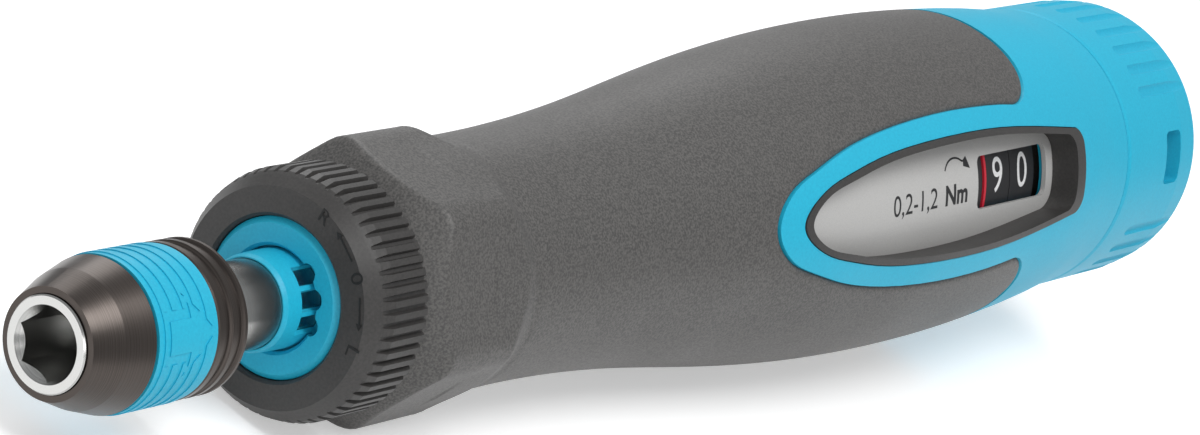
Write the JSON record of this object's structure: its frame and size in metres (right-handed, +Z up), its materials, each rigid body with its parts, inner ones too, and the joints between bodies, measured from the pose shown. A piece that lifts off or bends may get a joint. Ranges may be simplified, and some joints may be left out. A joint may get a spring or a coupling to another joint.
{
  "type": "torque screwdriver",
  "caption": "Adjustable torque screwdriver with a quick-change bit chuck, a reversible ratchet head, a hexagonal collar, a digit counter window and a rear setting cap.",
  "frame": {"origin": "middle of the footprint on the table that the tool lies on", "axes": "+X along the tool from the chuck to the cap (the tool axis rises by about 3.8 degrees), +Z up, the counter window faces -Y and 30 degrees up"},
  "size_m": [0.2124, 0.0402, 0.0426],
  "materials": {
    "bright_steel": "turned and brushed",
    "spring_steel": "plain",
    "black_metal": "blackened, satin",
    "blue_plastic": "matt, fine grain",
    "dark_plastic": "matt, fine grain",
    "grip_rubber": "matt, spark-eroded grain",
    "brass": "machined",
    "drum_black": "matt",
    "red_plastic": "satin",
    "silver_plate": "fine satin",
    "light_plastic": "matt"
  },
  "bodies": {
    "handle": {"handle_core": "blue_plastic", "grip_cover": "grip_rubber", "window_bezel": "dark_plastic", "scale_plate": "silver_plate", "comma_ring": "red_plastic", "rear_bush": "dark_plastic", "torque_spring": "spring_steel"},
    "head": {"hub_ring": "blue_plastic", "ratchet_housing": "bright_steel", "pawl_pins": "bright_steel", "clutch_disc": "bright_steel", "clutch_balls": "bright_steel"},
    "selector": {"direction_ring": "dark_plastic"},
    "pawl_right": {"pawl_right": "spring_steel"},
    "pawl_left": {"pawl_left": "spring_steel"},
    "spindle": {"drive_spindle": "bright_steel", "rear_clip": "spring_steel", "spring_clip": "spring_steel", "sleeve_spring": "spring_steel"},
    "sleeve": {"chuck_sleeve": "black_metal", "chuck_band": "blue_plastic"},
    "ball": {"detent_ball": "bright_steel"},
    "follower": {"follower_disc": "bright_steel", "thrust_washer": "spring_steel"},
    "nut": {"spring_nut": "brass"},
    "screw": {"setting_screw": "bright_steel", "drum_hundredths": "drum_black", "indicator_sleeve": "light_plastic"},
    "tenths": {"drum_tenths": "drum_black"},
    "units": {"drum_units": "drum_black"},
    "cap": {"adjusting_cap": "blue_plastic"}
  },
  "joints": [
    {"name": "clutch_slip", "type": "hinge", "parent": "handle", "child": "head", "pos_m": [-0.05798, 0, 0.01383], "axis": [0.9978, 0, 0.0669], "continuous": true},
    {"name": "selector_turn", "type": "hinge", "parent": "head", "child": "selector", "pos_m": [-0.06596, 0, 0.01329], "axis": [0.9978, 0, 0.0669], "range_deg": [0, 30]},
    {"name": "pawl_right_rock", "type": "hinge", "parent": "head", "child": "pawl_right", "pos_m": [-0.0654, -0.00364, 0.01844], "axis": [0.9978, 0, 0.0669], "range_deg": [-14.01, 0]},
    {"name": "pawl_left_rock", "type": "hinge", "parent": "head", "child": "pawl_left", "pos_m": [-0.06502, 0.00624, 0.01276], "axis": [0.9978, 0, 0.0669], "range_deg": [-14.01, 0]},
    {"name": "spindle_spin", "type": "hinge", "parent": "head", "child": "spindle", "pos_m": [-0.08592, 0, 0.01195], "axis": [0.9978, 0, 0.0669], "continuous": true},
    {"name": "sleeve_pull", "type": "slide", "parent": "spindle", "child": "sleeve", "axis": [0.9978, 0, 0.0669], "range_m": [0, 0.0025], "stiffness_N_per_m": 600, "springref_m": -0.003, "deforming": ["sleeve_spring"]},
    {"name": "ball_release", "type": "slide", "parent": "spindle", "child": "ball", "axis": [-0.058, -0.5, 0.8641], "range_m": [0, 0.000901]},
    {"name": "follower_lift", "type": "slide", "parent": "handle", "child": "follower", "axis": [0.9978, 0, 0.0669], "range_m": [0, 0.0009], "stiffness_N_per_m": 800, "springref_m": -0.004, "deforming": ["torque_spring"]},
    {"name": "setting_turn", "type": "hinge", "parent": "handle", "child": "screw", "pos_m": [0.07372, 0, 0.02267], "axis": [-0.9978, 0, -0.0669], "range_deg": [-2520, 1080]},
    {"name": "nut_travel", "type": "slide", "parent": "handle", "child": "nut", "axis": [-0.9978, 0, -0.0669], "range_m": [-0.00876, 0.00376], "deforming": ["torque_spring"]},
    {"name": "tenths_turn", "type": "hinge", "parent": "handle", "child": "tenths", "pos_m": [0.05377, 0, 0.02133], "axis": [-0.9978, 0, -0.0669], "range_deg": [-252.1, 108.1]},
    {"name": "units_turn", "type": "hinge", "parent": "handle", "child": "units", "pos_m": [0.04878, 0, 0.02099], "axis": [-0.9978, 0, -0.0669], "range_deg": [-25.3, 10.9]},
    {"name": "cap_unlock", "type": "slide", "parent": "screw", "child": "cap", "axis": [0.9978, 0, 0.0669], "range_m": [0, 0.003]}
  ],
  "couplings": [
    {"joint": "pawl_right_rock", "follows": "selector_turn", "ratio": -0.46667},
    {"joint": "pawl_left_rock", "follows": "selector_turn", "ratio": -0.46667},
    {"joint": "ball_release", "follows": "sleeve_pull", "ratio": 0.36},
    {"joint": "nut_travel", "follows": "setting_turn", "m_per_rad": 0.00019894},
    {"joint": "tenths_turn", "follows": "setting_turn", "ratio": 0.1},
    {"joint": "units_turn", "follows": "setting_turn", "ratio": 0.01}
  ]
}
